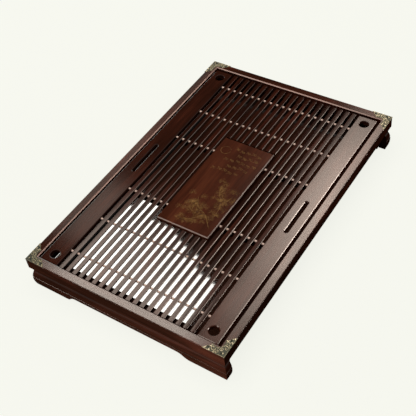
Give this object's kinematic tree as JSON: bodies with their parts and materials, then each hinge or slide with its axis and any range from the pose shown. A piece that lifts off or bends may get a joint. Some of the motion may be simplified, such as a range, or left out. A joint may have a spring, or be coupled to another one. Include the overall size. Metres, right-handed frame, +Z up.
{
  "type": "tea tray",
  "caption": "Low slatted hardwood tea tray on bracket feet, with brass corner mounts, a lift-off grille round a plaque, and a sliding water tray.",
  "frame": {"origin": "on the floor, under the middle of the frame", "axes": "+X across the tray, the way the water tray slides out; +Y along it, towards the far short side; +Z up"},
  "size_m": [0.331, 0.501, 0.0595],
  "materials": {
    "frame_wood": "polished dark hardwood",
    "grille_wood": "lacquered dark hardwood",
    "plaque_wood": "lacquered red-brown hardwood",
    "carcass_wood": "plain oiled hardwood",
    "bamboo": "plain bamboo",
    "brass": "aged, with rubbed high spots",
    "tray_plastic": "dark brown gloss"
  },
  "bodies": {
    "frame": {"rail_front": "frame_wood", "rail_back": "frame_wood", "rail_left": "frame_wood", "rail_right": "frame_wood", "corner_mount_front_left": "brass", "corner_mount_front_right": "brass", "corner_mount_back_left": "brass", "corner_mount_back_right": "brass", "mount_pins": "brass", "mitre_tongues": "carcass_wood", "glue_blocks": "carcass_wood", "side_ledge_left": "carcass_wood", "side_ledge_right": "carcass_wood", "end_ledge_front": "carcass_wood", "end_ledge_back": "carcass_wood", "bearer_front": "carcass_wood", "bearer_back": "carcass_wood", "tray_runner_front": "carcass_wood", "tray_runner_back": "carcass_wood"},
    "grille": {"plank_left": "grille_wood", "plank_right": "grille_wood", "long_slat_left_1": "grille_wood", "long_slat_left_2": "grille_wood", "long_slat_left_3": "grille_wood", "long_slat_left_4": "grille_wood", "long_slat_left_5": "grille_wood", "long_slat_left_6": "grille_wood", "long_slat_right_1": "grille_wood", "long_slat_right_2": "grille_wood", "long_slat_right_3": "grille_wood", "long_slat_right_4": "grille_wood", "long_slat_right_5": "grille_wood", "long_slat_right_6": "grille_wood", "short_slat_front_1": "grille_wood", "short_slat_front_2": "grille_wood", "short_slat_front_3": "grille_wood", "short_slat_front_4": "grille_wood", "short_slat_front_5": "grille_wood", "short_slat_front_6": "grille_wood", "short_slat_front_7": "grille_wood", "short_slat_front_8": "grille_wood", "short_slat_back_1": "grille_wood", "short_slat_back_2": "grille_wood", "short_slat_back_3": "grille_wood", "short_slat_back_4": "grille_wood", "short_slat_back_5": "grille_wood", "short_slat_back_6": "grille_wood", "short_slat_back_7": "grille_wood", "short_slat_back_8": "grille_wood", "dowel_row_a": "bamboo", "dowel_row_b": "bamboo", "dowel_row_c": "bamboo", "dowel_row_d": "bamboo", "dowel_row_e": "bamboo", "dowel_row_f": "bamboo", "plaque": "plaque_wood"},
    "tray": {"water_tray": "tray_plastic"}
  },
  "joints": [
    {"name": "grille_lift", "type": "slide", "parent": "frame", "child": "grille", "axis": [0, 0, 1], "range_m": [0, 0.06]},
    {"name": "tray_slide", "type": "slide", "parent": "frame", "child": "tray", "axis": [1, 0, 0], "range_m": [0, 0.295]}
  ]
}
